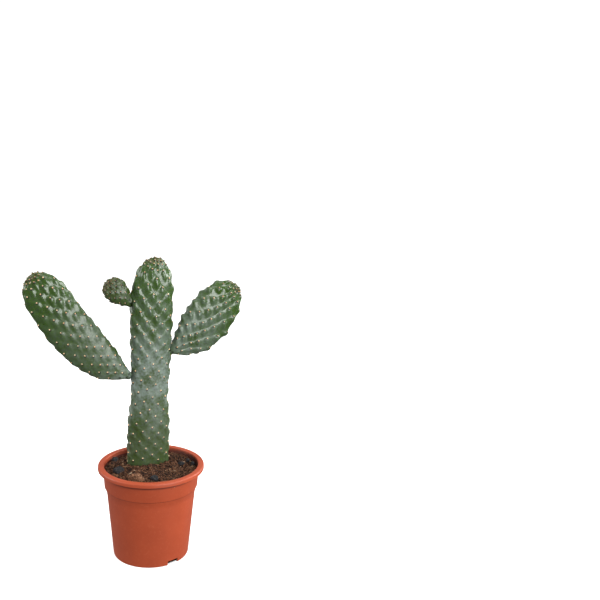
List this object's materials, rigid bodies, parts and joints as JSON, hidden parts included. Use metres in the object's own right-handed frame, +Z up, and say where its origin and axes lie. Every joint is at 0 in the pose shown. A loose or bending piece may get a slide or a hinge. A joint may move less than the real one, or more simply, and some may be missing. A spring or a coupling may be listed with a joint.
{
  "type": "potted prickly pear cactus",
  "caption": "Prickly pear with a tall upright pad, side pads and a young bud, standing in a round nursery pot of soil with charcoal and bark lumps.",
  "frame": {"origin": "centre of the pot's flat base, on the surface that the pot stands on", "axes": "+Z up along the upright pad, +X to the right as the plant is seen from the front, -Y to the front"},
  "size_m": [0.241, 0.12, 0.3396],
  "materials": {
    "pot": "smooth moulded plastic, faintly satin",
    "soil": "damp fibrous potting mix",
    "charcoal": "dull and crumbly",
    "bark": "rough and dry",
    "skin": "waxy skin with a pale bloom"
  },
  "bodies": {
    "root": {"pot": "pot", "soil": "soil", "charcoal_front_left": "charcoal", "charcoal_front": "charcoal", "charcoal_right": "charcoal", "charcoal_far_right": "charcoal", "charcoal_by_wall": "charcoal", "charcoal_left": "charcoal", "bark_front": "bark", "main_pad": "skin", "left_pad": "skin", "right_pad": "skin", "bud_pad": "skin"}
  },
  "joints": []
}
